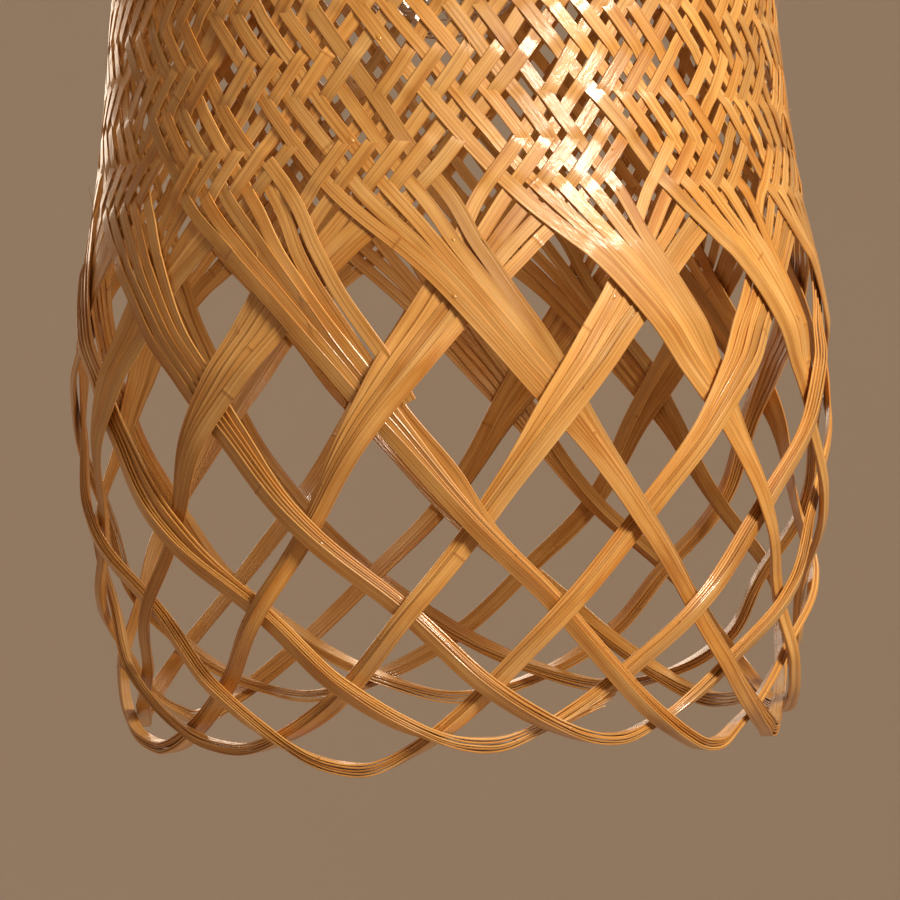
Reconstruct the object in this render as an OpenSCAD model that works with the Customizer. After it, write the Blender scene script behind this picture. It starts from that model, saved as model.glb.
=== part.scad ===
// Pendant lamp: a woven bamboo shade that hangs mouth down from a lampholder.
// The origin is the centre of the cord grip's top face. Heights below are measured up from the rim
// plane of the shade and moved down at the end by the hung() module. Azimuth 0 faces -Y.

/* [Shade] */
// Radius of the shade at the rim
rim_r = 107; // [100:0.5:112]
// Largest radius of the shade
belly_r = 125.3; // [118:0.1:130]
// Radius where the wall starts to curve in to the shoulder
shoulder_r = 109.7; // [104:0.1:114]
// Mid radius of the weave where the hoops clamp it
neck_r = 59.2; // [59:0.1:59.4]
// Thickness of the twill wall
wall = 2.4; // [2:0.1:2.4]
// Half the width of a slat bundle at the rim
rim_half_w = 2.5; // [1.5:0.1:3]
// Height of the twill's lower edge
weave_z = 159; // [155:1:162]

/* [Hoops] */
// Radial thickness of the inner hoop
inner_hoop_t = 2.6; // [2:0.1:3]
// Radial thickness of the outer hoop
outer_hoop_t = 3.2; // [2:0.1:5]
// Height of both hoops
hoop_h = 10; // [8:0.5:10]
// Radius of a rivet
rivet_r = 1.1; // [0.8:0.1:1.5]

/* [Carrier] */
// Wire radius of the carrier
wire_r = 1.5; // [1.2:0.1:1.5]
// Radius of the hole for the lampholder skirt
carrier_hole_r = 20.3; // [20.2:0.1:21]
// Outer radius of the flat centre ring
carrier_ring_r = 26; // [24:0.5:28]

/* [Lampholder] */
// Outer radius of the threaded skirt
skirt_r = 20; // [20:0.05:20.05]
// Outer radius of the cap
cap_r = 22.5; // [21.5:0.1:24]
// Radius of the cord hole
cord_hole_r = 3.6; // [3:0.1:4]
// Radial clearance of the shade ring on the skirt
ring_clearance = 0.06; // [0.03:0.01:0.1]

/* [Lamp] */
// Radius of the globe
globe_r = 30; // [28:0.5:30]
// Outer radius of the lamp cap's thread
lamp_cap_r = 13.15; // [13.1:0.01:13.17]

/* [Hidden] */
BUNDLES = 14;
$fn = 96;
eps = 0.01;

// Colours
bamboo = "#c58a45";
bamboo_dark = "#9a6428";
steel = "#8f8f90";
brass = "#b8923f";
black_plastic = "#222222";
ceramic = "#e8e3d8";
clear_glass = "#dfe8ea";

// Heights above the rim plane
belly_z = 118;
waist_z = 175;
waist_r = 117.5;
shoulder_z = 242;
neck_z = 342;
top_z = 352;
carrier_z = 340.5;
carrier_t = 2;
skirt_bottom_z = 311.5;
flange_z = carrier_z + carrier_t / 2;
flange_h = 3.5;
cap_z = flange_z + flange_h;
cap_side_h = 21;
cap_dome_h = 12;
cap_dome_r = 9;
grip_head_h = 14;
total_h = cap_z + cap_side_h + cap_dome_h + grip_head_h;

function bundle_name(i) = str("bundle_", i < 10 ? "0" : "", i);

// ---- the wall's outline -------------------------------------------------------------------------

// Cubic through (z0, r0) and (z1, r1) with slopes s0 and s1
function hermite(z, z0, r0, s0, z1, r1, s1) =
    let (h = z1 - z0, t = (z - z0) / h, t2 = t * t, t3 = t2 * t)
    (2 * t3 - 3 * t2 + 1) * r0 + (t3 - 2 * t2 + t) * h * s0
    + (3 * t2 - 2 * t3) * r1 + (t3 - t2) * h * s1;
rim_slope = 0.25;
waist_slope = -0.165;
shoulder_slope = -0.1;
// Radius of the wall's middle, from the rim to the shoulder
function wall_r(z) =
    z < belly_z ? hermite(z, 0, rim_r, rim_slope, belly_z, belly_r, 0)
    : z < waist_z ? hermite(z, belly_z, belly_r, 0, waist_z, waist_r, waist_slope)
    : hermite(z, waist_z, waist_r, waist_slope, shoulder_z, shoulder_r, shoulder_slope);
// The shoulder is one cubic curve from the wall to the foot of the neck
shoulder_run = 45;
shoulder_pull = [82, 316];
neck_foot = [64, 334];
function bezier(p, t) = let (s = 1 - t)
    s * s * s * p[0] + 3 * s * s * t * p[1] + 3 * s * t * t * p[2] + t * t * t * p[3];
function shoulder(t) = bezier([[shoulder_r, shoulder_z],
    [shoulder_r + shoulder_slope * shoulder_run, shoulder_z + shoulder_run],
    shoulder_pull, neck_foot], t);
function neck_bend(t) = bezier([neck_foot, neck_foot + [-2.5, 2.5], [neck_r, neck_z - 4],
    [neck_r, neck_z]], t);
wall_line = concat(
    [for (i = [0:8]) let (z = weave_z + (shoulder_z - weave_z) * i / 8) [wall_r(z), z]],
    [for (i = [1:12]) shoulder(i / 12)],
    [for (i = [1:4]) neck_bend(i / 4)],
    [[neck_r, top_z]]);
// Unit normals of that line, level at both ends so that the edges are flat
function line_normal(i) = i == 0 || i >= len(wall_line) - 2 ? [1, 0]
    : let (d = wall_line[i + 1] - wall_line[i - 1]) [d[1], -d[0]] / norm(d);
function wall_side(offset) = [for (i = [0:len(wall_line) - 1]) wall_line[i] + offset * line_normal(i)];

// ---- the slat bundles of the lattice ------------------------------------------------------------

half_period = 180 / BUNDLES;
first_azimuth = 28.2 - 2 * 360 / BUNDLES;
// Height of the rows where the bundles cross, one row for each half period travelled round the shade
row_z = [0, 6.5, 21, 44, 70, 107, 143, 175, 209];
// How far each bundle's turn hangs below (-) or sits above (+) the rim plane
turn_dip = [-3.8, 3.6, 3.5, -2.1, -1.5, 1.2, -1, 2, -2.4, 0.8, -1.8, 2.2, -1.4, 1.4];
// The turns stand closer together on one side of the rim, by up to this many degrees, and further
// apart on the other. It fades out up the wall.
rim_crowding = 10;
crowding_azimuth = 15;
crowding_fade_z = 110;
// A bundle ends at this row, inside the twill, and has a section every ring_step rows
last_row = 6.48;
ring_step = 0.216;
// Clear space between two bundles that cross
bundle_gap = 0.3;
// Rows over which a bundle comes back to the wall's middle at its end
settle_rows = 0.2;

function spline(a, b, c, d, t) =
    0.5 * (2 * b + (c - a) * t + (2 * a - 5 * b + 4 * c - d) * t * t + (3 * b - a - 3 * c + d) * t * t * t);
function row_height(u) = let (m = abs(u), i = floor(m))
    spline(row_z[abs(i - 1)], row_z[i], row_z[i + 1], row_z[i + 2], m - i);
function clamp(x, low, high) = max(low, min(high, x));
function smooth(x) = let (t = clamp(x, 0, 1)) t * t * (3 - 2 * t);
// Which side of the crossing bundle this one passes: 1 outside, -1 inside
function side(u) = let (m = abs(u))
    -sign(u) * clamp(2.2 * (m < 1 ? sin(90 * m) : m < 2 ? 1 : cos(180 * (m - 2))), -1, 1);
// Half the width and thickness of a bundle at row m: it fans out and thins on its way up
function bundle_half_w(m) = lookup(m, [[0, rim_half_w], [3, rim_half_w + 0.4], [4, 4], [5, 6], [6.5, 6.6]]);
function bundle_half_t(m) = lookup(m, [[0, 2.3], [3, 2.1], [4, 1.9], [5, 1.3], [6, 0.8], [6.5, 0.8]]);
function crowding(azimuth, z) =
    -rim_crowding * sin(azimuth - crowding_azimuth) * smooth(1 - z / crowding_fade_z);

function path_azimuth(i, u) = let (a = first_azimuth + (i - 1) * 2 * half_period + u * half_period)
    a + crowding(a, row_height(u));
function path_point(i, u) =
    let (a = path_azimuth(i, u),
         z = row_height(u) + turn_dip[i - 1] * smooth(1 - abs(u) / 3),
         settle = smooth((last_row - abs(u)) / settle_rows),
         r = wall_r(z) + side(u) * settle * (bundle_half_t(abs(u)) + bundle_gap))
    [r * sin(a), -r * cos(a), z];
// Four corners of the bundle's section at u. Away from the turn the section is level.
function ring(i, u) =
    let (p = path_point(i, u),
         n = [p[0], p[1], 0] / norm([p[0], p[1]]),
         q = path_point(i, u + 0.02) - path_point(i, u - 0.02),
         upright = q - (q * n) * n,
         t = upright / norm(upright),
         b = cross(n, t),
         level = smooth((abs(u) - 1) / 2))
    [for (c = [[-1, -1], [1, -1], [1, 1], [-1, 1]])
        let (k = p + c[0] * bundle_half_w(abs(u)) * b + c[1] * bundle_half_t(abs(u)) * n)
        level == 0 ? k : k + t * level * (p[2] - k[2]) / t[2]];

steps = floor(last_row / ring_step);
stations = [for (k = [-steps:steps]) k * last_row / steps];
module slat_bundle(i) {
    rings = [for (u = stations) ring(i, u)];
    count = len(rings);
    last = 4 * (count - 1);
    color(bamboo) hung() polyhedron(
        points = [for (r = rings) each r],
        faces = concat(
            [[0, 1, 2], [0, 2, 3], [last, last + 2, last + 1], [last, last + 3, last + 2]],
            [for (k = [0:count - 2], j = [0:3]) let (a = 4 * k + j, b = 4 * k + (j + 1) % 4)
                each [[a, a + 4, b + 4], [a, b + 4, b]]]));
}

// ---- the weave and its hoops --------------------------------------------------------------------

rivets = 6;
rivet_reach = 1.2;
hoop_z = top_z - hoop_h;
hoop_mid_z = top_z - hoop_h / 2;
// How much further than what it cuts a hole reaches
reach = 4;

module hung() translate([0, 0, -total_h]) children();
module tube(r_out, r_in, z0, h) translate([0, 0, z0]) rotate_extrude()
    translate([r_in, 0]) square([r_out - r_in, h]);
// One cylinder through the hoops at each rivet
module rivet_places(r, r0, r1) for (i = [0:rivets - 1])
    rotate([0, 0, 30 + 360 / rivets * i]) translate([r0, 0, hoop_mid_z]) rotate([0, 90, 0])
        cylinder(r = r, h = r1 - r0, $fn = 32);

module twill_weave() color(bamboo) hung() difference() {
    rotate_extrude() polygon(concat(wall_side(wall / 2), [for (i = [len(wall_line) - 1:-1:0])
        wall_side(-wall / 2)[i]]));
    rivet_places(rivet_r, neck_r - reach, neck_r + reach);
}
module neck_hoop_outer() color(bamboo_dark) hung() difference() {
    rotate_extrude() translate([neck_r + wall / 2, hoop_z])
        hoop_section(outer_hoop_t, hoop_h);
    rivet_places(rivet_r, neck_r - 1, neck_r + outer_hoop_t + reach);
}
module neck_hoop_inner() color(bamboo_dark) hung() difference() {
    rotate_extrude() translate([neck_r - wall / 2 - inner_hoop_t, hoop_z])
        square([inner_hoop_t, hoop_h]);
    rivet_places(rivet_r, neck_r - inner_hoop_t - reach, neck_r + 1);
}
// A rectangle whose outer corners are cut back
module hoop_section(w, h) {
    c = 0.8;
    polygon([[0, 0], [w - c, 0], [w, c], [w, h - c], [w - c, h], [0, h]]);
}
module hoop_rivets() color(brass) hung() {
    r0 = neck_r - wall / 2 - inner_hoop_t;
    r1 = neck_r + wall / 2 + outer_hoop_t;
    rivet_places(rivet_r, r0, r1 + eps);
    rivet_places(2 * rivet_r, r1, r1 + rivet_reach);
    rivet_places(2 * rivet_r, r0 - rivet_reach, r0 - 0.05);
}

// ---- the carrier --------------------------------------------------------------------------------

module shade_carrier() color(steel) hung() {
    wire_ring_r = neck_r - wall / 2 - inner_hoop_t / 2 - wire_r + 0.2;
    spoke_start_r = carrier_ring_r - 0.2;
    translate([0, 0, carrier_z]) {
        rotate_extrude() translate([wire_ring_r, 0]) circle(r = wire_r, $fn = 32);
        for (i = [0:2]) rotate([0, 0, 90 + 120 * i]) translate([spoke_start_r, 0, 0])
            rotate([0, 90, 0]) cylinder(r = wire_r - 0.1, h = wire_ring_r - spoke_start_r, $fn = 32);
    }
    tube(carrier_ring_r, carrier_hole_r, carrier_z - carrier_t / 2, carrier_t);
}

// ---- the lampholder -----------------------------------------------------------------------------

skirt_wall = 2.4;
collar_r = 19;
collar_h = 8;
cap_wall = 2.6;
grip_stem_r = 5;
grip_stem_h = 7;
insert_r = skirt_r - skirt_wall - 0.1;
insert_top_z = 352;
shell_top_z = 336.5;
shell_bottom_z = 313;
shell_in_r = 13.22;
shell_t = 0.6;
holder_h = insert_top_z - skirt_bottom_z;
terminal_x = 9;
terminal_size = [6, 8, 7];
terminal_screw_z = 4.5;
terminal_screw_r = 1.5;
wire_hole_r = 1.3;
contact_w = 5;
contact_t = 0.6;
contact_drop = 2.1;

module holder_body() color(black_plastic) hung() {
    difference() {
        union() {
            translate([0, 0, skirt_bottom_z]) cylinder(r = skirt_r, h = flange_z - skirt_bottom_z + 1);
            translate([0, 0, flange_z]) cylinder(r = cap_r + 0.5, h = flange_h);
            translate([0, 0, cap_z - 1]) cylinder(r = collar_r, h = collar_h + 1);
        }
        translate([0, 0, skirt_bottom_z - 1]) cylinder(r = insert_r + 0.1, h = holder_h + 2 * reach);
    }
}
module holder_cap() color(black_plastic) hung() {
    dome_z = cap_z + cap_side_h;
    difference() {
        union() {
            translate([0, 0, cap_z]) cylinder(r = cap_r, h = cap_side_h);
            translate([0, 0, dome_z]) rotate_extrude() dome_section(cap_r, cap_dome_r, cap_dome_h);
        }
        translate([0, 0, cap_z - 1]) cylinder(r = collar_r, h = collar_h + 1 + eps);
        translate([0, 0, cap_z + collar_h]) cylinder(r = cap_r - cap_wall, h = cap_side_h - collar_h);
        translate([0, 0, dome_z - eps]) rotate_extrude()
            dome_section(cap_r - cap_wall, cap_dome_r - 1, cap_dome_h - grip_stem_h + eps);
        translate([0, 0, dome_z]) cylinder(r = grip_stem_r, h = cap_dome_h + 1);
    }
}
// Half of a rounded dome from radius r at the foot to radius r_top at height h
module dome_section(r, r_top, h) polygon(concat([[0, 0]],
    [for (i = [0:8]) let (t = 90 * i / 8) [r_top + (r - r_top) * cos(t), h * sin(t)]], [[0, h]]));
module cord_grip() color(black_plastic) hung() {
    head_z = total_h - grip_head_h;
    difference() {
        union() {
            translate([0, 0, head_z - grip_stem_h]) cylinder(r = grip_stem_r, h = grip_stem_h + 1);
            translate([0, 0, head_z]) rotate_extrude() polygon([[0, 0], [7.6, 0], [8.2, 0.8],
                [8.2, 7.5], [6.6, 9.5], [6.2, grip_head_h - 0.8], [5.4, grip_head_h], [0, grip_head_h]]);
        }
        translate([0, 0, head_z - grip_stem_h - 1])
            cylinder(r = cord_hole_r, h = grip_stem_h + grip_head_h + reach);
    }
}
module holder_insert() color(ceramic) hung() difference() {
    translate([0, 0, shell_bottom_z]) cylinder(r = insert_r, h = insert_top_z - shell_bottom_z);
    translate([0, 0, shell_bottom_z - 1]) cylinder(r = shell_in_r + shell_t,
        h = shell_top_z - shell_bottom_z + 1);
    for (x = [-terminal_x, terminal_x]) translate([x, 0, shell_top_z - 1])
        cylinder(r = terminal_screw_r + 0.1, h = holder_h, $fn = 32);
}
module screw_shell() color(brass) hung()
    tube(shell_in_r + shell_t, shell_in_r, shell_bottom_z, shell_top_z - shell_bottom_z);
// A strip riveted to the ceiling of the insert and bent down to meet the lamp's tip
module centre_contact() color(brass) hung() {
    ceiling = shell_top_z;
    low = ceiling - contact_drop;
    translate([0, contact_w / 2, 0]) rotate([90, 0, 0]) linear_extrude(height = contact_w) polygon([
        [-8, ceiling], [-8, ceiling - contact_t], [-4, ceiling - contact_t], [-1, low], [3, low],
        [3, low + contact_t], [-0.8, low + contact_t], [-4, ceiling]]);
}
module terminal_blocks() color(brass) hung() for (x = [-terminal_x, terminal_x])
    translate([x, 0, insert_top_z]) difference() {
        translate([-terminal_size[0] / 2, -terminal_size[1] / 2, 0]) cube(terminal_size);
        translate([0, terminal_size[1] / 2 + 1, 3]) rotate([90, 0, 0])
            cylinder(r = wire_hole_r, h = terminal_size[1] + 2, $fn = 32);
        translate([0, 0, terminal_screw_z]) cylinder(r = terminal_screw_r, h = reach, $fn = 32);
    }
// A slotted screw down into each block
module terminal_screws() color(steel) hung() for (x = [-terminal_x, terminal_x])
    translate([x, 0, insert_top_z + terminal_screw_z]) difference() {
        shank_h = terminal_size[2] - terminal_screw_z;
        union() {
            cylinder(r = terminal_screw_r, h = shank_h + 0.5, $fn = 32);
            translate([0, 0, shank_h]) cylinder(r = 2.4, h = 1.7, $fn = 32);
        }
        translate([-3, -0.35, shank_h + 0.9]) cube([6, 0.7, 2]);
    }

// ---- the shade ring -----------------------------------------------------------------------------

ring_h = 8;
ring_out_r = 25.5;
ring_flange_r = 27.5;
washer_t = 1.2;
rest_gap = 0.1;
washer_z = carrier_z - carrier_t / 2 - rest_gap - washer_t;
ring_z = washer_z - rest_gap - ring_h;
ring_flange_h = 2.5;
lugs = 12;
lug_r = 1.4;

module ring_washer() color(steel) hung()
    tube(ring_out_r, carrier_hole_r, washer_z, washer_t);
module shade_ring() color(black_plastic) hung() difference() {
    union() {
        translate([0, 0, ring_z]) cylinder(r = ring_out_r, h = ring_h);
        translate([0, 0, ring_z + ring_h - ring_flange_h]) cylinder(r = ring_flange_r, h = ring_flange_h);
        for (i = [0:lugs - 1]) rotate([0, 0, 360 / lugs * i])
            translate([ring_out_r - 0.3, 0, ring_z]) cylinder(r = lug_r, h = ring_h - 2, $fn = 24);
    }
    translate([0, 0, ring_z - 1]) cylinder(r = skirt_r + ring_clearance, h = ring_h + 2);
}

// ---- the lamp -----------------------------------------------------------------------------------

lamp_cap_top_z = 331;
lamp_cap_bottom_z = 309;
insulator_h = 2;
globe_z = 259;
glass_t = 0.9;
throat_r = 12.6;
// The globe's outline: a sphere that a smooth throat joins to the cap
join_angle = 58;
globe_join = [globe_r * sin(join_angle), globe_z + globe_r * cos(join_angle)];
globe_dir = [-cos(join_angle), sin(join_angle)];
function globe_line(r_cut) = concat(
    [for (i = [0:16]) let (a = 180 - (180 - join_angle) * i / 16)
        [(globe_r - r_cut) * sin(a), globe_z + (globe_r - r_cut) * cos(a)]],
    [for (i = [1:8]) bezier([globe_join - r_cut * [sin(join_angle), cos(join_angle)],
        globe_join - r_cut * [sin(join_angle), cos(join_angle)] + 18 * globe_dir,
        [throat_r - r_cut, lamp_cap_bottom_z - 14], [throat_r - r_cut, lamp_cap_bottom_z - 0.3]], i / 8)],
    [[throat_r - r_cut, lamp_cap_bottom_z + 3]]);
module bulb_globe() color(clear_glass, 0.5) hung() rotate_extrude()
    polygon(concat(globe_line(0), [for (i = [25:-1:0]) globe_line(glass_t)[i]]));
module bulb_cap() color(brass) hung() difference() {
    translate([0, 0, lamp_cap_bottom_z]) cylinder(r = lamp_cap_r, h = lamp_cap_top_z - lamp_cap_bottom_z);
    translate([0, 0, lamp_cap_bottom_z - 1]) cylinder(r = throat_r,
        h = lamp_cap_top_z - lamp_cap_bottom_z + 0.2);
}
module bulb_insulator() color(black_plastic) hung() translate([0, 0, lamp_cap_top_z])
    rotate_extrude() polygon([[0, 0], [11.5, 0], [10.8, 0.7], [6, insulator_h], [0, insulator_h]]);
module bulb_tip() color(steel) hung() translate([0, 0, lamp_cap_top_z + insulator_h + rest_gap / 2])
    rotate_extrude() polygon([[0, 0], [4.8, 0], [4.4, 0.6], [3, 1], [0, 1.1]]);

stem_z = 308;
stem_h = 22;
stem_r = 2.4;
filaments = 4;
filament_l = 34;
filament_r = 0.9;
filament_out = 5;
filament_lean = 8;
module bulb_stem() color(clear_glass, 0.5) hung() {
    translate([0, 0, stem_z - stem_h]) cylinder(r = stem_r, h = stem_h);
    translate([0, 0, stem_z - 3]) cylinder(r1 = stem_r, r2 = throat_r - glass_t - 0.2, h = 6);
}
module bulb_filaments() color("#f2c14e") hung() for (i = [0:filaments - 1])
    rotate([0, 0, 45 + 360 / filaments * i]) translate([filament_out, 0, stem_z - 13 - filament_l])
        rotate([0, filament_lean, 0]) cylinder(r = filament_r, h = filament_l, $fn = 24);

for (i = [1:BUNDLES]) slat_bundle(i);
twill_weave();
neck_hoop_outer();
neck_hoop_inner();
hoop_rivets();
shade_carrier();
holder_body();
holder_cap();
cord_grip();
holder_insert();
screw_shell();
centre_contact();
terminal_blocks();
terminal_screws();
ring_washer();
shade_ring();
bulb_globe();
bulb_cap();
bulb_insulator();
bulb_tip();
bulb_stem();
bulb_filaments();
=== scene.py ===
"""A woven bamboo pendant shade with its lampholder and lamp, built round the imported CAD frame.

The shade hangs mouth down. Every slat is one U: it comes down the wall as a "\\" arm, turns round at the
rim and goes back up as a "/" arm. A path runs along u, from the neck (u < 0) through the turn (u = 0) and
back to the neck (u > 0). One unit of u is one row of crossings between bundles, and takes the path half
a bundle's share of the way round. Lengths are in metres, and heights are measured up from the rim."""

import math

import bpy
import numpy as np
from mathutils import Matrix, Vector


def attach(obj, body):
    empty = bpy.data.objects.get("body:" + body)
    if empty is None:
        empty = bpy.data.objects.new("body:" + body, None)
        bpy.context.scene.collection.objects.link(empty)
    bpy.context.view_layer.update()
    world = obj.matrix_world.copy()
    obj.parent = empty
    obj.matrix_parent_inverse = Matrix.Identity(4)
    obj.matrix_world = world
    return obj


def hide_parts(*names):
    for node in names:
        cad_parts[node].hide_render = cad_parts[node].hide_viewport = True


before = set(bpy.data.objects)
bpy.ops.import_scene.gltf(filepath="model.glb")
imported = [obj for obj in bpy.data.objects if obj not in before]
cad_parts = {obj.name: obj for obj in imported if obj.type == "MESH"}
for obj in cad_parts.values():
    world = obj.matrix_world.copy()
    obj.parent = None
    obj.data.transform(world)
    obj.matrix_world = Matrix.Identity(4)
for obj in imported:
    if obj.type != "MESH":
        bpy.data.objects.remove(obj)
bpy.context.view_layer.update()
MM = 0.001

# ---- sizes, as in the part's source ---------------------------------------------------------------

BUNDLES, LANES = 14, 5
RIM_R, BELLY_R, WAIST_R, SHOULDER_R, NECK_R = 107.0, 125.3, 117.5, 109.7, 59.2
BELLY_Z, WAIST_Z, SHOULDER_Z, NECK_Z, TOP_Z = 118.0, 175.0, 242.0, 342.0, 352.0
RIM_SLOPE, WAIST_SLOPE, SHOULDER_SLOPE, SHOULDER_RUN = 0.25, -0.165, -0.1, 45.0
SHOULDER_PULL, NECK_FOOT, NECK_BEND = (82.0, 316.0), (64.0, 334.0), 4
LOWEST_Z = -12.0  # the wall's outline goes on down to here, for the turns that hang lower
HANG = 392.0  # from the rim plane to the cord grip's top, where the frame's origin is
HALF_PERIOD = math.pi / BUNDLES
FIRST_AZIMUTH = math.radians(28.2) - 4 * HALF_PERIOD
ROW_Z = [0, 6.5, 21, 44, 70, 107, 143, 175, 209]  # heights at which bundles cross
UPPER_ROW = 34.2  # row spacing above those, measured along the wall
TURN_DIP = [-3.8, 3.6, 3.5, -2.1, -1.5, 1.2, -1, 2, -2.4, 0.8, -1.8, 2.2, -1.4, 1.4]
CROWDING, CROWDING_AZIMUTH, CROWDING_FADE_Z = math.radians(10), math.radians(15), 110.0

SLAT_W, SLAT_T = 4.45, 0.56
TOP_NARROWING, NARROW_FROM, NARROW_OVER = 0.2, 270, 90  # slats get narrower up the shoulder
# Angle between a bundle's neighbouring slats where the twill starts, and what it gains above
TWILL_STEP, TWILL_EASE = math.radians(4.2), math.radians(0.65)

# ---- the wall -------------------------------------------------------------------------------------


def smooth(x):
    t = np.clip(x, 0.0, 1.0)
    return t * t * (3 - 2 * t)


def hermite(z, z0, r0, s0, z1, r1, s1):
    h = z1 - z0
    t = (z - z0) / h
    return (
        (2 * t**3 - 3 * t**2 + 1) * r0
        + (t**3 - 2 * t**2 + t) * h * s0
        + (3 * t**2 - 2 * t**3) * r1
        + (t**3 - t**2) * h * s1
    )


def bezier(points, t):
    p, t = np.array(points, float), np.asarray(t)[:, None]
    s = 1 - t
    return s**3 * p[0] + 3 * s * s * t * p[1] + 3 * s * t * t * p[2] + t**3 * p[3]


def wall_outline():
    """(length along the wall from the rim plane, radius, height) of the weave's middle, in millimetres."""
    z = np.arange(LOWEST_Z, SHOULDER_Z, 0.5)
    r = np.where(
        z < BELLY_Z,
        hermite(z, 0, RIM_R, RIM_SLOPE, BELLY_Z, BELLY_R, 0),
        np.where(
            z < WAIST_Z,
            hermite(z, BELLY_Z, BELLY_R, 0, WAIST_Z, WAIST_R, WAIST_SLOPE),
            hermite(z, WAIST_Z, WAIST_R, WAIST_SLOPE, SHOULDER_Z, SHOULDER_R, SHOULDER_SLOPE),
        ),
    )
    start = (SHOULDER_R, SHOULDER_Z)
    pull = (SHOULDER_R + SHOULDER_SLOPE * SHOULDER_RUN, SHOULDER_Z + SHOULDER_RUN)
    shoulder = bezier([start, pull, SHOULDER_PULL, NECK_FOOT], np.linspace(0, 1, 240))
    foot = np.array(NECK_FOOT)
    bend_pulls = [foot, foot + [-2.5, 2.5], (NECK_R, NECK_Z - NECK_BEND), (NECK_R, NECK_Z)]
    bend = bezier(bend_pulls, np.linspace(0, 1, 40)[1:])
    neck = np.array([(NECK_R, h) for h in np.linspace(NECK_Z, TOP_Z, 20)[1:]])
    line = np.vstack([np.column_stack([r, z]), shoulder, bend, neck])
    step = np.hypot(*np.diff(line, axis=0).T)
    along = np.concatenate([[0], np.cumsum(step)])
    along -= np.interp(0.0, line[:, 1], along)
    return along, line[:, 0], line[:, 1]


WALL_S, WALL_R, WALL_Z = wall_outline()
WALL_DR, WALL_DZ = np.gradient(WALL_R, WALL_S), np.gradient(WALL_Z, WALL_S)


def on_wall(azimuth, s):
    """Points on the wall with their outward normals, in millimetres."""
    r, z = np.interp(s, WALL_S, WALL_R), np.interp(s, WALL_S, WALL_Z)
    dr, dz = np.interp(s, WALL_S, WALL_DR), np.interp(s, WALL_S, WALL_DZ)
    size = np.hypot(dr, dz)
    out = np.column_stack([np.sin(azimuth), -np.cos(azimuth), np.zeros_like(azimuth)])
    point = out * r[:, None]
    point[:, 2] = z - HANG
    normal = out * (dz / size)[:, None]
    normal[:, 2] = -dr / size
    return point, normal


# ---- the paths of the slats -----------------------------------------------------------------------

LOWER_ROWS = np.interp(ROW_Z, WALL_Z, WALL_S)
ROW_S = np.concatenate([LOWER_ROWS, LOWER_ROWS[-1] + UPPER_ROW * np.arange(1, 10)])
TOP_S = WALL_S[-1]


def row_s(u):
    """Length along the wall at row u, by a smooth curve through the rows."""
    m = np.abs(u)
    i = np.floor(m).astype(int)
    t = m - i
    a, b, c, d = (ROW_S[np.abs(i + k)] for k in (-1, 0, 1, 2))
    return 0.5 * (2 * b + (c - a) * t + (2 * a - 5 * b + 4 * c - d) * t**2 + (3 * b - a - 3 * c + d) * t**3)


UPPER_ROWS = np.linspace(8, 14, 600)
TOP_ROW = float(np.interp(TOP_S, row_s(UPPER_ROWS), UPPER_ROWS))

# How a bundle changes on the way up, in (row, value) pairs: millimetres between its slats, and how many
# degrees each slat is turned on edge
PACKING = np.array([(0, 0.75), (1, 0.7), (2, 0.55), (3, 0.5), (4, 0.7), (4.6, 1.1), (5, 2.1), (5.5, 3.0),
                    (6, 3.5), (6.5, 5.0), (7, 6.6), (14, 7.4)]).T
ROLL = np.array([(0, 80), (0.8, 66), (1.4, 38), (2, 22), (3, 13), (4, 10), (5, 12), (6, 8), (6.6, 2), (7, 0),
                 (14, 0)]).T
CORNER_ROWS = 0.25  # how far the corners of those two are rounded
# Rows at which a slat changes from outside to inside or back, and half the rows it takes to
FLIPS = [(2.5, 0.45), (3.5, 0.45), (4.47, 0.36), (5.44, 0.2), (6.9, 0.07)]
TWILL_FLIP, TWILL_EVERY, TWILL_FLIPS = (7.3, 0.055), 0.4, 20
TURN_ROWS, DIP_ROWS, LOOSE_ROWS = 0.8, 3, 1.2  # how far up the turn, its dip and its looseness reach
TWILL_FROM, TWILL_OVER = 6.3, 0.9  # rows over which the slats take up the twill's spacing
EASE_FROM, EASE_OVER = 7.1, 2.2  # rows over which TWILL_EASE comes in


def eased(pairs, m):
    """The pairs' polyline at m with its corners rounded."""
    return sum(np.interp(np.abs(m + k * CORNER_ROWS), *pairs) for k in (-1, -0.5, 0, 0.5, 1)) / 5


def side_of(m):
    """1 where a falling slat lies outside the rising ones and -1 where it lies inside."""
    value = smooth(m / TURN_ROWS)
    flips = FLIPS + [(TWILL_FLIP[0] + TWILL_EVERY * k, TWILL_FLIP[1]) for k in range(TWILL_FLIPS)]
    for row, half in flips:
        value = value * (1 - 2 * smooth((m - row + half) / (2 * half)))
    return value


def crowding(azimuth, z):
    """The angle by which a bundle near the rim is moved round towards the front, where they crowd."""
    return -CROWDING * np.sin(azimuth - CROWDING_AZIMUTH) * smooth(1 - z / CROWDING_FADE_Z)


class Draws:
    """Repeatable small random draws."""

    def __init__(self, seed):
        self.rng = np.random.default_rng(seed)

    def between(self, low, high):
        return float(self.rng.uniform(low, high))

    def wave(self, x, size, length):
        """A smooth wandering value of about that size, which turns about every length of x."""
        total = np.zeros_like(x)
        for k in (1.0, 1.7, 2.9):
            total += np.sin(x * k * 2 * math.pi / length + self.between(0, 2 * math.pi)) / k
        return total * size / 1.5


LATTICE_STEP, TWILL_SAMPLE, FINER_FROM = 0.055, 0.034, 5.3


def samples():
    """Stations along one slat, closer together in the twill."""
    lattice, twill = np.arange(0, FINER_FROM, LATTICE_STEP), np.arange(FINER_FROM, TOP_ROW, TWILL_SAMPLE)
    arm = np.concatenate([lattice, twill, [TOP_ROW]])
    return np.concatenate([-arm[:0:-1], arm])


def bulge(u, row, rows, size):
    return size * np.exp(-(((u - row) / rows) ** 2))


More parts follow.
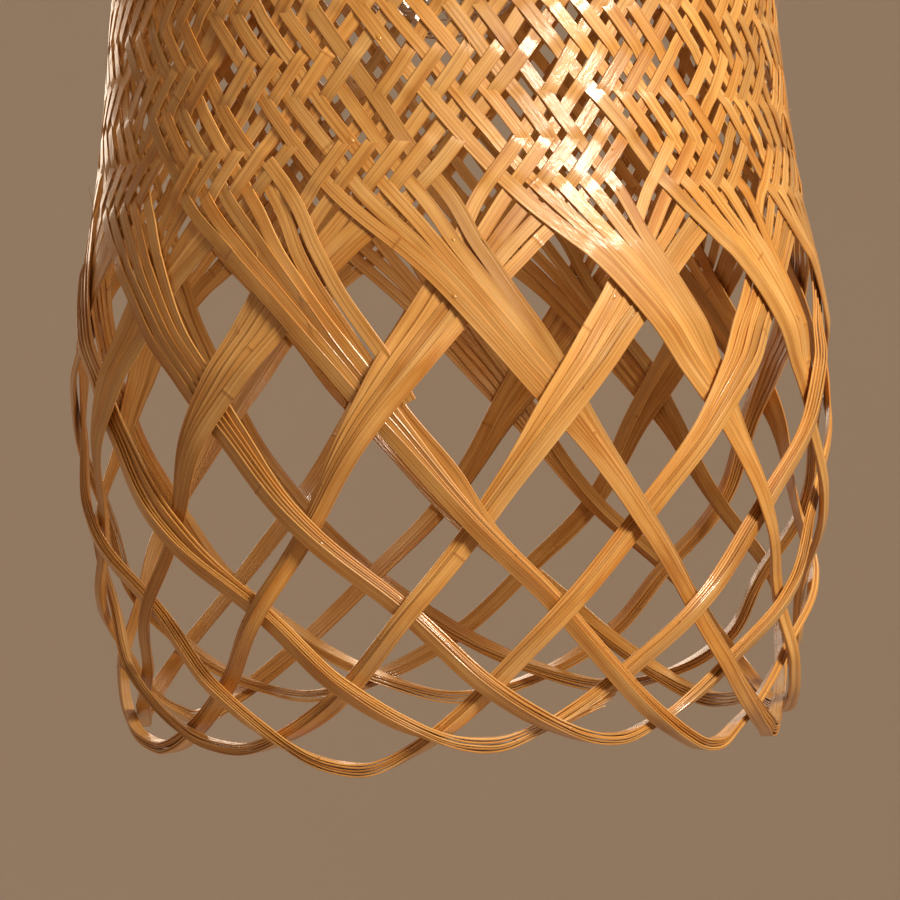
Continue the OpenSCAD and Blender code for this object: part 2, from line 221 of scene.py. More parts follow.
# Random wander sideways: (millimetres, rows per wave) in the arms and in the fans, and at the turn
ARM_WANDER, FAN_WANDER, FAN_FROM, TURN_WANDER, TURN_REACH = (0.14, 3.0), (0.42, 2.2), 4.2, 0.28, 0.9
ROLL_WANDER = (2.0, 1.3)  # degrees, rows per wave
LEAST_RISE = 0.05  # keeps a division finite where a slat runs level
LAYER = SLAT_T * 1.06  # from one slat of a stack to the next
CROSSING_GAP, LATTICE_GAP, TWILL_ROW = 0.1, 0.06, 6.5  # clearance at crossings, and more below the twill


def slat_path(bundle, lane, draws, loose=1.0, stray=None):
    """One slat's rows, middle line, the wall's normal along it, and its roll and width.

    loose spreads the bundle at the turn, and stray is (row, rows long, millimetres) of a bulge sideways."""
    u = samples()
    m = np.abs(u)
    # the bundle's own middle line, on the unrolled wall
    base = FIRST_AZIMUTH + bundle * 2 * HALF_PERIOD + u * HALF_PERIOD
    s = row_s(u)
    azimuth = base + crowding(base, s)
    s = s + TURN_DIP[bundle] * smooth(1 - m / DIP_ROWS)
    r = np.interp(s, WALL_S, WALL_R)
    tx, ts = r * np.gradient(azimuth, u), np.gradient(s, u)
    size = np.hypot(tx, ts)
    tx, ts = tx / size, ts / size
    # this slat's place in the bundle
    to_twill = smooth((m - TWILL_FROM) / TWILL_OVER)
    packed = eased(PACKING, m) * (1 + (loose - 1) * smooth(1 - m / LOOSE_ROWS))
    step = TWILL_STEP + TWILL_EASE * smooth((m - EASE_FROM) / EASE_OVER)
    spacing = packed * (1 - to_twill) + r * step * np.abs(ts) * to_twill
    aside = lane * spacing + draws.wave(u, *ARM_WANDER) * smooth(m / 2)
    aside = aside + draws.wave(u, *FAN_WANDER) * smooth(m - FAN_FROM)
    turn_wander, turn_row = draws.between(-TURN_WANDER, TURN_WANDER), draws.between(-TURN_REACH, TURN_REACH)
    aside = aside + bulge(u, turn_row, TURN_REACH, turn_wander)
    if stray:
        aside = aside + bulge(u, *stray)
    level = smooth((m - 1) / 2)
    slide = level * aside * tx / np.where(np.abs(ts) < LEAST_RISE, LEAST_RISE, ts)
    azimuth = azimuth + (aside * ts + slide * tx) / r
    s = np.clip(s - aside * tx + slide * ts, WALL_S[0], TOP_S)
    # how the slats of a bundle lie on each other
    roll = np.radians(eased(ROLL, m))
    width = SLAT_W * (1 - TOP_NARROWING * smooth((s - NARROW_FROM) / NARROW_OVER))
    overlapping = 1 - smooth((spacing - 0.93 * width) / (0.12 * width))
    lift = np.clip((LAYER - spacing * np.sin(roll)) / np.cos(roll), 0, None) * overlapping
    half = 0.5 * ((LANES - 1) * lift + width * np.sin(roll) + SLAT_T * np.cos(roll))
    gap = CROSSING_GAP + LATTICE_GAP * smooth(TWILL_ROW - m)
    offset = -np.sign(u) * side_of(m) * (half + gap) + lane * lift
    point, normal = on_wall(azimuth, s)
    point = point + normal * offset[:, None]
    return u, point, normal, -roll + np.radians(draws.wave(u, *ROLL_WANDER)), width


# ---- strips ---------------------------------------------------------------------------------------

CHAMFER = 0.13
SHARP = math.radians(32)
KNOT_HALF = 0.55  # half the length of the ridge where a bamboo stem had a joint
KNOT_WIDER, KNOT_THICKER = 0.08, 0.45  # millimetres each side, share of the thickness
LEAST_STEP = 0.05  # closer stations than this are left out
KNOT_STATIONS = np.array([-1.5, -0.9, -0.5, -0.2, 0.2, 0.5, 0.9, 1.5])
# A slat's section: (across in half widths, across in chamfers, up in half thicknesses)
SECTION = [(-1, 0, -0.45), (-1, 0, 0.45), (-1, 1, 1.0), (0, 0, 1.03), (1, -1, 1.0), (1, 0, 0.45),
           (1, 0, -0.45), (1, -1, -1.0), (-1, 1, -1.0)]


def unit(v):
    return v / np.maximum(np.linalg.norm(v, axis=1, keepdims=True), 1e-12)


def placed(name, mesh, material, body):
    """The mesh as a piece that rides on the body."""
    mesh.materials.append(material)
    mesh.update()
    piece = bpy.data.objects.new(name, mesh)
    bpy.context.scene.collection.objects.link(piece)
    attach(piece, body)
    return piece


class Strips:
    """Collects slats and makes one mesh of them."""

    def __init__(self):
        self.points, self.faces, self.grain, self.knot, self.count = [], [], [], [], 0

    def add(self, point, normal, roll, width, thickness, mark, knots=(), chamfer=CHAMFER):
        """A strip along the points. Its outer face looks along normal, turned by roll about the path."""
        along = np.concatenate([[0], np.cumsum(np.linalg.norm(np.diff(point, axis=0), axis=1))])
        stations = [along] + [k + KNOT_STATIONS for k in knots]
        stations = np.unique(np.clip(np.concatenate(stations), 0, along[-1]))
        stations = stations[np.concatenate([[True], np.diff(stations) > LEAST_STEP])]
        point, normal = (np.column_stack([np.interp(stations, along, v[:, i]) for i in range(3)])
                         for v in (point, normal))
        roll, width, thickness = (np.interp(stations, along, v) for v in (roll, width, thickness))
        along, n = stations, len(stations)
        tangent = unit(np.gradient(point, along, axis=0))
        up = unit(normal - tangent * np.sum(normal * tangent, axis=1, keepdims=True))
        across = np.cross(up, tangent)
        c, s = np.cos(roll)[:, None], np.sin(roll)[:, None]
        wide, high = c * across - s * up, c * up + s * across
        swell = np.zeros(n)
        for k in knots:
            swell = np.maximum(swell, np.exp(-(((along - k) / KNOT_HALF) ** 2)))
        half_w = (width / 2 + KNOT_WIDER * swell)[:, None]
        half_t = (thickness / 2 * (1 + KNOT_THICKER * swell))[:, None]
        rings = [point + wide * (a * half_w + b * chamfer) + high * (c * half_t) for a, b, c in SECTION]
        k = len(SECTION)
        self.points.append(np.stack(rings, 1).reshape(-1, 3))
        ring = np.arange(n - 1)[:, None] * k
        j = np.arange(k)[None, :]
        j2 = (j + 1) % k
        quads = np.stack([ring + j, ring + k + j, ring + k + j2, ring + j2], -1).reshape(-1, 4) + self.count
        self.faces += quads.tolist()
        last = self.count + (n - 1) * k
        self.faces.append([self.count + i for i in range(k)])
        self.faces.append([last + i for i in reversed(range(k))])
        x = np.array([a * 0.5 for a, _, _ in SECTION])
        grain = np.zeros((n, k, 3))
        grain[..., 0] = along[:, None] * MM
        grain[..., 1] = x[None, :] * half_w * 2 * MM
        grain[..., 2] = mark
        self.grain.append(grain.reshape(-1, 3))
        self.knot.append(np.repeat(swell, k))
        self.count += n * k

    def make(self, name, material, body, slot):
        """The mesh's object, riding on the body. Its points carry what the bamboo material reads."""
        mesh = bpy.data.meshes.new(name)
        mesh.from_pydata((np.vstack(self.points) * MM).tolist(), [], self.faces)
        grain = mesh.attributes.new("grain", "FLOAT_VECTOR", "POINT")
        grain.data.foreach_set("vector", np.vstack(self.grain).astype(np.float32).ravel())
        knot = mesh.attributes.new("knot", "FLOAT", "POINT")
        knot.data.foreach_set("value", np.concatenate(self.knot).astype(np.float32))
        mesh.polygons.foreach_set("use_smooth", [True] * len(mesh.polygons))
        mesh.set_sharp_from_angle(angle=SHARP)
        return placed(name, mesh, material, body)


# ---- materials ------------------------------------------------------------------------------------


class Tree:
    """A short way to write a node material."""

    def __init__(self, name):
        self.material = bpy.data.materials.new(name)
        self.material.use_nodes = True
        self.nodes, self.links = self.material.node_tree.nodes, self.material.node_tree.links
        self.shader = self.nodes["Principled BSDF"]

    def node(self, kind, inputs=None, **settings):
        made = self.nodes.new(kind)
        for key, value in settings.items():
            setattr(made, key, value)
        for key, value in (inputs or {}).items():
            self.put(made.inputs[key], value)
        return made

    def put(self, socket, value):
        if isinstance(value, bpy.types.NodeSocket):
            self.links.new(value, socket)
        else:
            socket.default_value = value

    def maths(self, operation, a, b=0.0):
        return self.node("ShaderNodeMath", {0: a, 1: b}, operation=operation).outputs[0]

    def remap(self, value, low, high, new_low=0.0, new_high=1.0):
        made = self.node("ShaderNodeMapRange", {"Value": value, "From Min": low, "From Max": high,
                                                "To Min": new_low, "To Max": new_high})
        return made.outputs["Result"]

    def mix(self, factor, a, b, blend="MIX"):
        made = self.node("ShaderNodeMix", data_type="RGBA", blend_type=blend)
        for index, value in ((0, factor), (6, a), (7, b)):
            self.put(made.inputs[index], value)
        return made.outputs[2]

    def ramp(self, value, stops):
        made = self.node("ShaderNodeValToRGB", {"Fac": value})
        ramp = made.color_ramp
        ramp.elements[0].position, ramp.elements[0].color = stops[0]
        ramp.elements[1].position, ramp.elements[1].color = stops[-1]
        for position, color in stops[1:-1]:
            ramp.elements.new(position).color = color
        return made.outputs["Color"]

    def noise(self, vector, scale=1.0, detail=2.0, rough=0.5):
        inputs = {"Vector": vector, "Scale": scale, "Detail": detail, "Roughness": rough}
        return self.node("ShaderNodeTexNoise", inputs).outputs["Fac"]

    def stretched(self, vector, *scale):
        return self.node("ShaderNodeVectorMath", {0: vector, 1: scale}, operation="MULTIPLY").outputs[0]

    def object_place(self):
        return self.node("ShaderNodeTexCoord").outputs["Object"]

    def bump(self, height, strength, distance):
        made = self.node("ShaderNodeBump", {"Height": height, "Strength": strength, "Distance": distance})
        self.links.new(made.outputs["Normal"], self.shader.inputs["Normal"])

    def finish(self, **values):
        for key, value in values.items():
            self.put(self.shader.inputs[key.replace("_", " ")], value)
        return self.material


def scaled(color, *factors):
    """The colour with each channel times its factor, or all times one factor, as RGBA."""
    return (*[c * k for c, k in zip(color, factors * 3 if len(factors) == 1 else factors)], 1)


LIGHT, STRAW = (0.82, 0.48, 0.165), (0.71, 0.36, 0.09)
HONEY, BROWN = (0.55, 0.22, 0.034), (0.30, 0.095, 0.011)
EDGE_SHADE_FROM, EDGE_SHADE_TO = 0.0018, 0.0024  # metres from a slat's middle, between which its edges are darkened as painted shade


def bamboo(name, tint=(1.0, 1.0, 1.0), gloss=0.36, coat=0.5):
    """Varnished split bamboo. The grain attribute holds metres along and across the slat and its mark."""
    t = Tree(name)
    grain = t.node("ShaderNodeAttribute", attribute_name="grain").outputs["Vector"]
    knot = t.node("ShaderNodeAttribute", attribute_name="knot").outputs["Fac"]
    _, across, mark = t.node("ShaderNodeSeparateXYZ", {0: grain}).outputs
    fibres = t.noise(t.stretched(grain, 4, 2500, 41), 1.0, 2.0, 0.6)
    fine = t.noise(t.stretched(grain, 7, 4600, 29), 1.0, 2.0, 0.5)
    streaks = t.noise(t.stretched(grain, 4, 620, 23), 1.0, 2.0, 0.5)
    patches = t.noise(t.stretched(grain, 26, 130, 17), 1.0, 3.0, 0.55)
    own = t.node("ShaderNodeTexWhiteNoise", {"W": mark}, noise_dimensions="1D").outputs["Value"]
    light, straw, honey, brown = (scaled(color, *tint) for color in (LIGHT, STRAW, HONEY, BROWN))
    body = t.ramp(t.remap(patches, 0.32, 0.68), [(0.0, honey), (0.45, straw), (1.0, light)])
    body = t.mix(t.remap(streaks, 0.5, 0.7, 0.0, 0.4), body, honey)
    body = t.mix(t.remap(fibres, 0.51, 0.64, 0.0, 0.46), body, brown)
    body = t.mix(t.remap(fibres, 0.46, 0.34, 0.0, 0.5), body, light)
    body = t.mix(t.remap(fine, 0.53, 0.66, 0.0, 0.45), body, brown)
    # Painted shade: both edges of every slat are darkened towards a deeper honey, as if shaded where slats
    # meet
    edge_shade = t.remap(t.maths("ABSOLUTE", across), EDGE_SHADE_FROM, EDGE_SHADE_TO, 0.0, 0.4)
    body = t.mix(edge_shade, body, scaled(honey[:3], 0.8))
    body = t.mix(t.remap(knot, 0.25, 1.0, 0.0, 0.55), body, brown)
    shade = t.remap(own, 0.0, 1.0, 0.76, 1.14)
    grey = t.node("ShaderNodeCombineXYZ", {0: shade, 1: shade, 2: shade}).outputs[0]
    body = t.mix(1.0, body, grey, "MULTIPLY")
    rough = t.remap(fibres, 0.3, 0.7, gloss - 0.06, gloss + 0.16)
    t.bump(t.maths("ADD", fibres, t.maths("MULTIPLY", fine, 0.4)), 0.8, 0.00016)
    runs = t.noise(t.stretched(grain, 240, 700, 13), 1.0, 3.0, 0.6)
    ripple = t.node("ShaderNodeBump", {"Height": runs, "Strength": 0.5, "Distance": 0.00025})
    t.links.new(ripple.outputs["Normal"], t.shader.inputs["Coat Normal"])
    return t.finish(Base_Color=body, Roughness=rough, Coat_Weight=coat, Coat_Roughness=0.1)


def plastic(name, color, rough=0.42):
    """Moulded plastic with a fine grain and a little dust."""
    t = Tree(name)
    place = t.object_place()
    fine = t.noise(place, 900.0, 3.0)
    dust = t.noise(place, 60.0, 4.0, 0.6)
    body = t.mix(t.remap(dust, 0.5, 0.75, 0.0, 0.12), (*color, 1), (0.25, 0.22, 0.18, 1))
    t.bump(fine, 0.25, 0.0001)
    return t.finish(Base_Color=body, Roughness=t.remap(dust, 0.3, 0.7, rough - 0.06, rough + 0.12))


def metal(name, color, rough=0.3):
    """Metal with fine working marks and tarnish."""
    t = Tree(name)
    place = t.object_place()
    marks = t.noise(t.stretched(place, 400.0, 400.0, 60.0), 4.0, 3.0)
    tarnish = t.noise(place, 90.0, 4.0, 0.6)
    body = t.mix(t.remap(tarnish, 0.45, 0.75, 0.0, 0.5), (*color, 1), scaled(color, 0.55))
    t.bump(marks, 0.15, 0.00005)
    worn = t.remap(marks, 0.3, 0.7, rough - 0.08, rough + 0.12)
    return t.finish(Base_Color=body, Metallic=1.0, Roughness=worn)


def ceramic(name):
    """Glazed steatite."""
    t = Tree(name)
    place = t.object_place()
    cloud = t.noise(place, 120.0, 4.0)
    body = t.mix(cloud, (0.84, 0.81, 0.74, 1), (0.74, 0.70, 0.62, 1))
    t.bump(t.noise(place, 600.0, 2.0), 0.12, 0.0001)
    return t.finish(Base_Color=body, Roughness=t.remap(cloud, 0.3, 0.7, 0.25, 0.4), Coat_Weight=0.3)


def glass(name, color=(0.96, 0.98, 0.98)):
    """Clear blown glass with a few smears."""
    t = Tree(name)
    place = t.object_place()
    smear = t.noise(place, 40.0, 4.0, 0.6)
    body = t.mix(smear, (*color, 1), scaled(color, 0.96))
    t.bump(t.noise(place, 120.0, 2.0), 0.05, 0.00004)
    rough = t.remap(smear, 0.4, 0.8, 0.0, 0.07)
    return t.finish(Base_Color=body, Transmission_Weight=1.0, IOR=1.46, Roughness=rough)


def coating(name):
    """The grainy yellow coating of filament rods."""
    t = Tree(name)
    place = t.object_place()
    grains = t.noise(place, 700.0, 2.0)
    body = t.mix(grains, (0.95, 0.62, 0.12, 1), (0.85, 0.50, 0.08, 1))
    t.bump(grains, 0.3, 0.00008)
    return t.finish(Base_Color=body, Roughness=t.remap(grains, 0.3, 0.7, 0.5, 0.7))


# ---- the weave ------------------------------------------------------------------------------------

slat_material = bamboo("bamboo_slats")
# Slats that stand away from their bundle: (bundle, lane): (row where, rows long, millimetres away)
STRAYS = {(1, -2): (-4.15, 0.6, -3.2), (1, -1): (-4.15, 0.5, -2.5), (3, -2): (-4.45, 0.33, -2.4),
          (12, -2): (-3.4, 0.8, -1.5), (6, 2): (3.2, 0.7, 1.4), (9, -2): (4.1, 0.8, -1.6)}
STUB_BUNDLE, STUB_LANE, STUB_ROWS, STUB_AWAY, STUB_PROUD = 3, -2.6, (-7.2, -4.95), (-5.5, 1.0, -3.4), 0.9
KNOTS_EVERY, KNOTS_MOST, KNOT_MARGIN = 290, 5, 10
STUB_MARK, SPLINTER_MARK, FRAY_MARK, HOOP_MARK, LASHING_MARK = 90.5, 100.5, 170.5, 200.5, 300.5
faces = []  # (point on a slat's outer face, outward, along the slat), for drops and splinters


def build_bundle(i):
    """The five slats of one bundle, from the neck to the rim and back."""
    strips = Strips()
    draws = Draws(100 + i)
    loose = draws.between(1.0, 1.45)
    for lane in range(-2, 3):
        u, point, normal, roll, width = slat_path(i, lane, draws, loose, STRAYS.get((i, lane)))
        length = float(np.sum(np.linalg.norm(np.diff(point, axis=0), axis=1)))
        first = draws.between(KNOT_MARGIN, KNOTS_EVERY)
        knots = [first + KNOTS_EVERY * k for k in range(KNOTS_MOST)]
        knots = [knot for knot in knots if knot < length - KNOT_MARGIN]
        width = width * draws.between(0.9, 1.06)
        mark = i * LANES + lane + 2.5
        strips.add(point, normal, roll, width, np.full(len(point), SLAT_T), mark, knots)
        along = unit(np.gradient(point, axis=0))
        front = np.cos(roll)[:, None] * normal + np.sin(roll)[:, None] * np.cross(normal, along)
        m = np.abs(u)
        outside = (-np.sign(u) * side_of(m) > 0.8) & (lane == 2) | (m > 5.5) & (m < 9)
        for k in np.flatnonzero(outside)[::7]:
            faces.append((point[k] + front[k] * SLAT_T * 0.5, front[k], along[k]))
    if i == STUB_BUNDLE:
        u, point, normal, roll, width = slat_path(i, STUB_LANE, draws, 1.0, STUB_AWAY)
        keep = (u > STUB_ROWS[0]) & (u < STUB_ROWS[1])
        point, normal, roll, width = (x[keep] for x in (point, normal, roll, width))
        strips.add(point + normal * STUB_PROUD, normal, roll, width, np.full(len(point), SLAT_T), STUB_MARK)
    piece = strips.make(f"slats_{i + 1:02d}", slat_material, "holder", "bamboo_slats")
    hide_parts(f"bundle_{i + 1:02d}", "twill_weave")


for i in range(BUNDLES):
    build_bundle(i)


def small_mesh(name, points, polygons, material, body):
    mesh = bpy.data.meshes.new(name)
    mesh.from_pydata([tuple(p) for p in points], [], polygons)
    mesh.polygons.foreach_set("use_smooth", [True] * len(mesh.polygons))
    return placed(name, mesh, material, body)


def varnish_drops(count=46):
    """Beads of varnish that dried on the slats."""
    draws, points, polygons = Draws(7), [], []
    rings, sides = 4, 12
    for k in range(count):
        place, out, along = faces[int(draws.between(0, len(faces)))]
        across = np.cross(out, along)
        long, wide, high = draws.between(0.35, 1.5), draws.between(0.3, 0.8), draws.between(0.14, 0.3)
        shift = across * draws.between(-1.2, 1.2)
        base = len(points)
        points.append((place + shift + out * high) * MM)
        for i in range(1, rings + 1):
            tilt = i / rings * math.pi / 2
            for j in range(sides):
                turn = 2 * math.pi * j / sides
                spot = along * long * math.sin(tilt) * math.cos(turn)
                spot = spot + across * wide * math.sin(tilt) * math.sin(turn)
                points.append((place + shift + spot + out * (high * math.cos(tilt) - 0.02)) * MM)
        polygons += [(base, base + 1 + j, base + 1 + (j + 1) % sides) for j in range(sides)]
        for i in range(rings - 1):
            first, second = base + 1 + i * sides, base + 1 + (i + 1) * sides
            polygons += [(first + j, second + j, second + (j + 1) % sides, first + (j + 1) % sides)
                         for j in range(sides)]
        polygons.append([base + 1 + (rings - 1) * sides + j for j in reversed(range(sides))])
    t = Tree("varnish")
    place = t.object_place()
    body = t.mix(t.noise(place, 500.0, 2.0), (0.50, 0.20, 0.03, 1), (0.66, 0.33, 0.07, 1))
    t.bump(t.noise(place, 1500.0, 1.0), 0.1, 0.00005)
    rough = t.remap(t.noise(place, 300.0, 2.0), 0.3, 0.7, 0.05, 0.16)
    material = t.finish(Base_Color=body, Roughness=rough, Coat_Weight=1.0, Coat_Roughness=0.04)
    small_mesh("varnish_drops", points, polygons, material, "holder")


def splinters(count=54):
    """Fine fibres that stand off the slats' edges."""
    draws, strips = Draws(11), Strips()
    for k in range(count):
        place, out, along = faces[int(draws.between(0, len(faces)))]
        across = np.cross(out, along) * (1 if draws.between(0, 1) > 0.5 else -1)
        length, bend, lean = draws.between(3, 9), draws.between(0.15, 0.6), draws.between(0.1, 0.35)
        t = np.linspace(0, 1, 9)[:, None]
        path = place + across * 1.7 + along * length * t + across * length * bend * t**2
        path = path + out * length * lean * t**1.5
        width = 0.3 - 0.22 * t[:, 0]
        strips.add(path, np.repeat(out[None], 9, 0), np.zeros(9), width, width * 0.6, SPLINTER_MARK + k,
                   chamfer=0.02)
    strips.make("splinters", slat_material, "holder", "bamboo_slats")


FRAY_BUNDLE, FRAY_FROM, FRAY_TO, FRAY_FIBRES, FRAY_WIDTH = 1, 1.0, 1.82, 9, 3.9


def frayed_end():
    """A slat that broke off beside the rim and ends in separate pale fibres."""
    draws, strips = Draws(19), Strips()
    u, point, normal, roll, _ = slat_path(FRAY_BUNDLE, 2, draws, 1.2)
    for k in range(FRAY_FIBRES):
        keep = (u > FRAY_FROM + draws.between(-0.2, 0.1)) & (u < FRAY_TO + draws.between(-0.3, 0.06))
        path, out, turn = point[keep], normal[keep], roll[keep]
        along = unit(np.gradient(path, axis=0))
        side = np.cross(out, along)
        c, s = np.cos(turn)[:, None], np.sin(turn)[:, None]
        front, wide = c * out + s * side, c * side - s * out
        t = np.linspace(0, 1, len(path))[:, None]
        place = (k / (FRAY_FIBRES - 1) - 0.5) * FRAY_WIDTH
        spread = wide * (place * 0.6 + draws.between(-1.3, 1.3)) + front * draws.between(0.1, 1.6)
        path = path + front * (SLAT_T * 0.5 + 0.16) + wide * place + spread * t**3
        width = draws.between(0.45, 0.95) * (1 - 0.75 * t[:, 0] ** 2)
        strips.add(path, out, turn, width, np.full(len(path), 0.24), FRAY_MARK + k, chamfer=0.03)
    torn = bamboo("bamboo_torn", (1.3, 1.6, 2.6), 0.6, 0.05)
    strips.make("frayed_end", torn, "holder", "bamboo_slats")


varnish_drops()
splinters()
frayed_end()

# ---- the fittings ---------------------------------------------------------------------------------


def z_at(height):
    return (height - HANG) * MM


TURNED_SIDES, TURNED_SHARP = 128, math.radians(35)


def turned(name, outline, material, body, node, shape):
    """A closed outline of (radius, height) pairs turned round the axis. shape may move each radius."""
    outline = fine_outline(outline)
    n, sides = len(outline), TURNED_SIDES
    points, polygons = [], []
    for j in range(sides):
        a = 2 * math.pi * j / sides
        for r, z in outline:
            radius = shape(r, z, a)
            points.append((radius * math.sin(a) * MM, -radius * math.cos(a) * MM, z_at(z)))
    for j in range(sides):
        here, there = j * n, (j + 1) % sides * n
        polygons += [(here + k, there + k, there + (k + 1) % n, here + (k + 1) % n) for k in range(n)]
    piece = small_mesh(name, points, polygons, material, body)
    piece.data.set_sharp_from_angle(angle=TURNED_SHARP)
    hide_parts(node)


def fine_outline(outline, step=0.45, corner=0.35):
    """The outline with its corners cut and its long sides divided."""
    p = np.array(outline, float)
    n, cut = len(p), []
    for k in range(n):
        before, here, after = p[k - 1], p[k], p[(k + 1) % n]
        for other in (before, after):
            side = other - here
            size = np.hypot(*side)
            cut.append(here + side / size * min(corner, size * 0.3))
    result = []
    for k, here in enumerate(cut):
        there = cut[(k + 1) % len(cut)]
        pieces = max(1, int(np.hypot(*(there - here)) / step))
        result += [tuple(here + (there - here) * i / pieces) for i in range(pieces)]
    return result


ON_WALL, THREAD_FADE = 0.06, 1.2


def thread(low, high, pitch, depth, radius):
    """A right-handed screw thread, cut inward on the wall at radius between two heights."""

    def shape(r, z, a):
        if abs(r - radius) > ON_WALL or not low < z < high:
            return r
        wave = 0.5 - 0.5 * math.cos(2 * math.pi * (z / pitch + a / (2 * math.pi)))
        fade = min(1.0, (z - low) / THREAD_FADE, (high - z) / THREAD_FADE)
        return r - depth * wave * fade

    return shape


HOOP_Z, HOOP_H = 347.0, 10.0
HOOPS = {"neck_hoop_outer": (60.4, 63.6, 0.9), "neck_hoop_inner": (55.4, 58.0, 3.6)}
SCARF, SCARF_TIP, HOOP_KNOTS, HOOP_CHAMFER = math.radians(26), 0.04, (95.0, 300.0), 0.6


def hoop(node, inside, outside, start):
    """A bamboo hoop bent round once, with its tapered ends glued over each other."""
    a = np.linspace(0, 2 * math.pi + SCARF, 300)
    full = outside - inside
    first = np.clip(a / SCARF, SCARF_TIP, 1)
    last = np.clip((2 * math.pi + SCARF - a) / SCARF, SCARF_TIP, 1)
    thick = full * np.minimum(first, last)
    radius = np.where(first < 1, inside + thick / 2, outside - thick / 2)
    a = a + start
    out = np.column_stack([np.sin(a), -np.cos(a), np.zeros_like(a)])
    point = out * radius[:, None] + [0, 0, HOOP_Z - HANG]
    strips = Strips()
    strips.add(point, out, np.zeros_like(a), np.full_like(a, HOOP_H), thick, HOOP_MARK + inside, HOOP_KNOTS,
               HOOP_CHAMFER)
    piece = strips.make(node + "_look", hoop_material, "holder", "bamboo_hoop")
    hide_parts(node)


LASH_TURNS, LASH_LOW, LASH_HIGH, LASH_IN, LASH_OUT = 36, 339.1, 352.35, 53.9, 64.0
LASH_STATIONS, LASH_START, LASH_W, LASH_T = 40, math.radians(5), 2.5, 0.55


def lashing():
    """Split cane wound round both hoops, the weave's top and the carrier's wire."""
    t = np.linspace(0, LASH_TURNS, LASH_TURNS * LASH_STATIONS + 1)
    a = t / LASH_TURNS * 2 * math.pi * 0.997 + LASH_START
    turn = 2 * math.pi * t
    cos, sin = np.cos(turn), np.sin(turn)
    x = np.sign(cos) * np.abs(cos) ** 0.35 * (LASH_OUT - LASH_IN) / 2
    z = np.sign(sin) * np.abs(sin) ** 0.35 * (LASH_HIGH - LASH_LOW) / 2
    out = np.column_stack([np.sin(a), -np.cos(a), np.zeros_like(a)])
    point = out * ((LASH_OUT + LASH_IN) / 2 + x)[:, None]
    point[:, 2] = (LASH_HIGH + LASH_LOW) / 2 + z - HANG
    normal = out * (np.sign(cos) * np.abs(cos) ** 0.8)[:, None]
    normal[:, 2] = np.sign(sin) * np.abs(sin) ** 0.8
    strips = Strips()
    strips.add(point, unit(normal), np.zeros_like(a), np.full_like(a, LASH_W), np.full_like(a, LASH_T),
               LASHING_MARK)
    strips.make("hoop_lashing", cane_material, "holder", "bamboo_hoop")


hoop_material = bamboo("bamboo_hoops", (0.92, 0.88, 0.8), 0.4)
cane_material = bamboo("cane", (0.84, 0.76, 0.66), 0.42)
for node, (inside, outside, start) in HOOPS.items():
    hoop(node, inside, outside, start)
lashing()

black = plastic("holder_plastic", (0.024, 0.022, 0.021))
black_ring = plastic("ring_plastic", (0.028, 0.026, 0.025), 0.5)
soft_black = plastic("grip_plastic", (0.018, 0.017, 0.016), 0.55)
steel = metal("zinc_steel", (0.56, 0.56, 0.58), 0.36)
spring_steel = metal("washer_steel", (0.50, 0.50, 0.50), 0.3)
brass = metal("bright_brass", (0.75, 0.52, 0.20), 0.28)
cap_metal = metal("lamp_cap_metal", (0.80, 0.78, 0.74), 0.22)
clear = glass("clear_glass")

SKIRT_R, SKIRT_WALL, LAMP_CAP_R = 20.0, 2.4, 13.15
turned("holder_body_look",
       [(SKIRT_R, 311.5), (SKIRT_R, 341.5), (23.0, 341.5), (23.0, 345.0), (19.0, 345.0), (19.0, 353.0),
        (SKIRT_R - SKIRT_WALL, 353.0), (SKIRT_R - SKIRT_WALL, 311.5)],
       black, "holder", "holder_body", thread(312.3, 337.5, 2.5, 0.75, SKIRT_R))
turned("bulb_cap_look",
       [(11.2, 309.0), (LAMP_CAP_R, 309.0), (LAMP_CAP_R, 329.0), (11.0, 331.0), (10.4, 331.0),
        (10.4, 309.6)],
       cap_metal, "lamp", "bulb_cap", thread(311.5, 328.5, 3.62, 0.8, LAMP_CAP_R))

for node, material in {
    "hoop_rivets": brass, "shade_carrier": steel, "holder_cap": black, "cord_grip": soft_black,
    "holder_insert": ceramic("steatite"), "screw_shell": brass, "centre_contact": brass,
    "terminal_blocks": brass, "terminal_screws": steel, "ring_washer": spring_steel,
    "shade_ring": black_ring,
    "bulb_globe": clear, "bulb_insulator": plastic("black_glass", (0.012, 0.012, 0.014), 0.15),
    "bulb_tip": metal("lamp_tip_metal", (0.66, 0.66, 0.68), 0.34), "bulb_stem": clear,
    "bulb_filaments": coating("filament_coating"),
}.items():
    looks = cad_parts[node].data.materials
    looks.clear()
    looks.append(material)

# ---- stage, lights and camera ---------------------------------------------------------------------

EYE_Z = (104.5 - HANG) * MM
DISTANCE, LENS, SENSOR = 1.0, 119.0, 36.0
PITCH, YAW, TILT = math.radians(-0.77), math.radians(0.08), math.radians(-1.53)


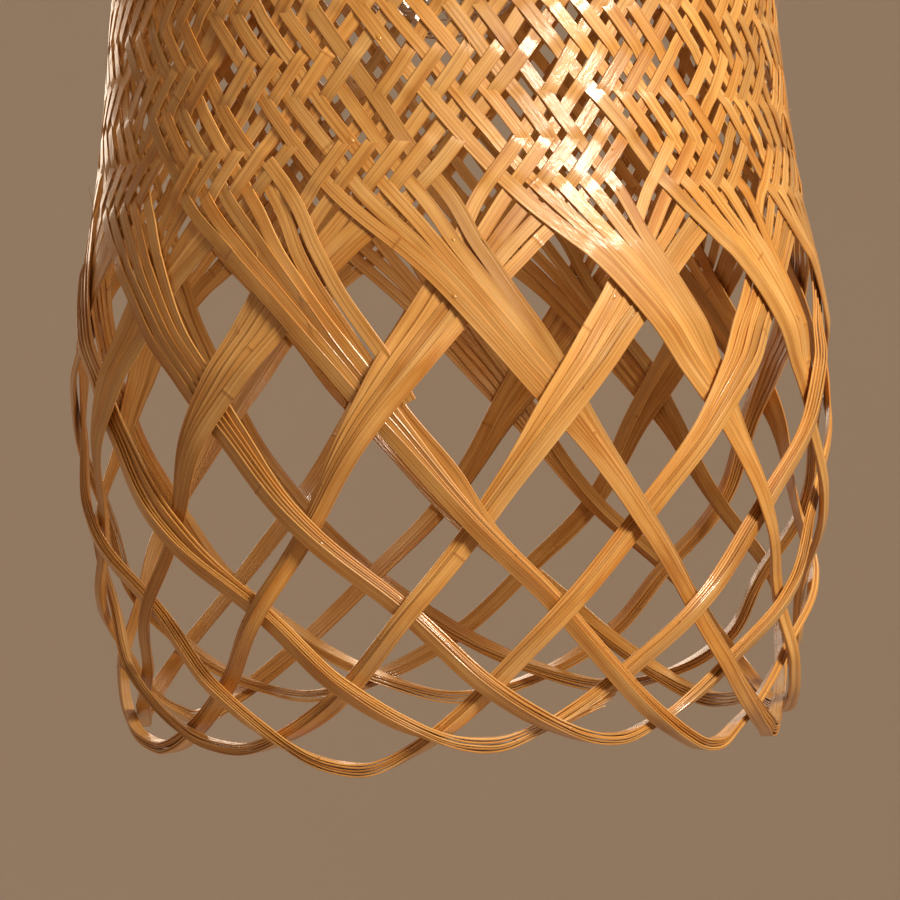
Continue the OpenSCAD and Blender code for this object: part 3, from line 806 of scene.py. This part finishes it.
def backdrop():
    """A pale round studio floor that curves up into a wall, well below and behind the hanging shade."""
    floor_z, wall_r, bend, wall_top, sides = -1.9, 4.0, 1.2, 2.6, 96  # metres
    profile = [(0.0, floor_z), (wall_r - bend, floor_z)]
    profile += [(wall_r - bend + bend * math.sin(a), floor_z + bend - bend * math.cos(a))
                for a in np.linspace(0, math.pi / 2, 14)[1:]]
    profile.append((wall_r, wall_top))
    turns = [2 * math.pi * j / sides for j in range(sides)]
    points = [(r * math.sin(a), -r * math.cos(a), z) for a in turns for r, z in profile]
    n = len(profile)
    quads = [(j * n + k, (j + 1) % sides * n + k, (j + 1) % sides * n + k + 1, j * n + k + 1)
             for j in range(sides) for k in range(n - 1)]
    mesh = bpy.data.meshes.new("floor")
    mesh.from_pydata(points, [], quads)
    mesh.polygons.foreach_set("use_smooth", [True] * len(mesh.polygons))
    floor = bpy.data.objects.new("floor", mesh)
    bpy.context.scene.collection.objects.link(floor)
    t = Tree("floor")
    place = t.object_place()
    body = t.mix(t.noise(place, 1.5, 2.0), (0.74, 0.66, 0.59, 1), (0.71, 0.63, 0.56, 1))
    mesh.materials.append(t.finish(Base_Color=body, Roughness=0.9))


LIGHTS_AIM = (0, 0, -0.2)
LIGHTS = [  # name, place, disk's width, watts, colour
    ("key", (0.95, -1.15, 0.55), 0.5, 35.0, (1.0, 0.9, 0.76)),
    ("fill", (-1.7, -1.2, 0.2), 1.4, 0.7, (1.0, 0.82, 0.62)),
    ("back", (0.9, 1.3, 0.9), 0.8, 14.0, (1.0, 0.80, 0.60)),
    ("rear", (-0.55, 1.6, 0.45), 1.4, 14.0, (1.0, 0.84, 0.66)),
]
WORLD_COLOR, WORLD_STRENGTH = (0.98, 0.71, 0.46, 1), 0.27


def area_light(name, place, size, power, color):
    data = bpy.data.lights.new(name, "AREA")
    data.shape, data.size, data.energy, data.color = "DISK", size, power, color
    lamp = bpy.data.objects.new(name, data)
    lamp.location = place
    lamp.visible_camera = False
    lamp.rotation_mode = "QUATERNION"
    lamp.rotation_quaternion = (Vector(LIGHTS_AIM) - Vector(place)).to_track_quat("-Z", "Y")
    bpy.context.scene.collection.objects.link(lamp)


backdrop()
for light in LIGHTS:
    area_light(*light)
world = bpy.data.worlds.new("studio")
world.use_nodes = True
world.node_tree.nodes["Background"].inputs["Color"].default_value = WORLD_COLOR
world.node_tree.nodes["Background"].inputs["Strength"].default_value = WORLD_STRENGTH
bpy.context.scene.world = world
bpy.context.scene.view_settings.view_transform = "Standard"

camera_data = bpy.data.cameras.new("camera")
camera_data.lens, camera_data.sensor_width = LENS, SENSOR
camera_data.clip_start, camera_data.clip_end = 0.05, 20
camera = bpy.data.objects.new("camera", camera_data)
bpy.context.scene.collection.objects.link(camera)
camera.location = (0.0, -DISTANCE, EYE_Z)
camera.rotation_mode = "QUATERNION"
camera.rotation_quaternion = (
    Matrix.Rotation(YAW, 3, "Z")
    @ Matrix.Rotation(math.pi / 2 + PITCH, 3, "X")
    @ Matrix.Rotation(TILT, 3, "Z")
).to_quaternion()
bpy.context.scene.camera = camera
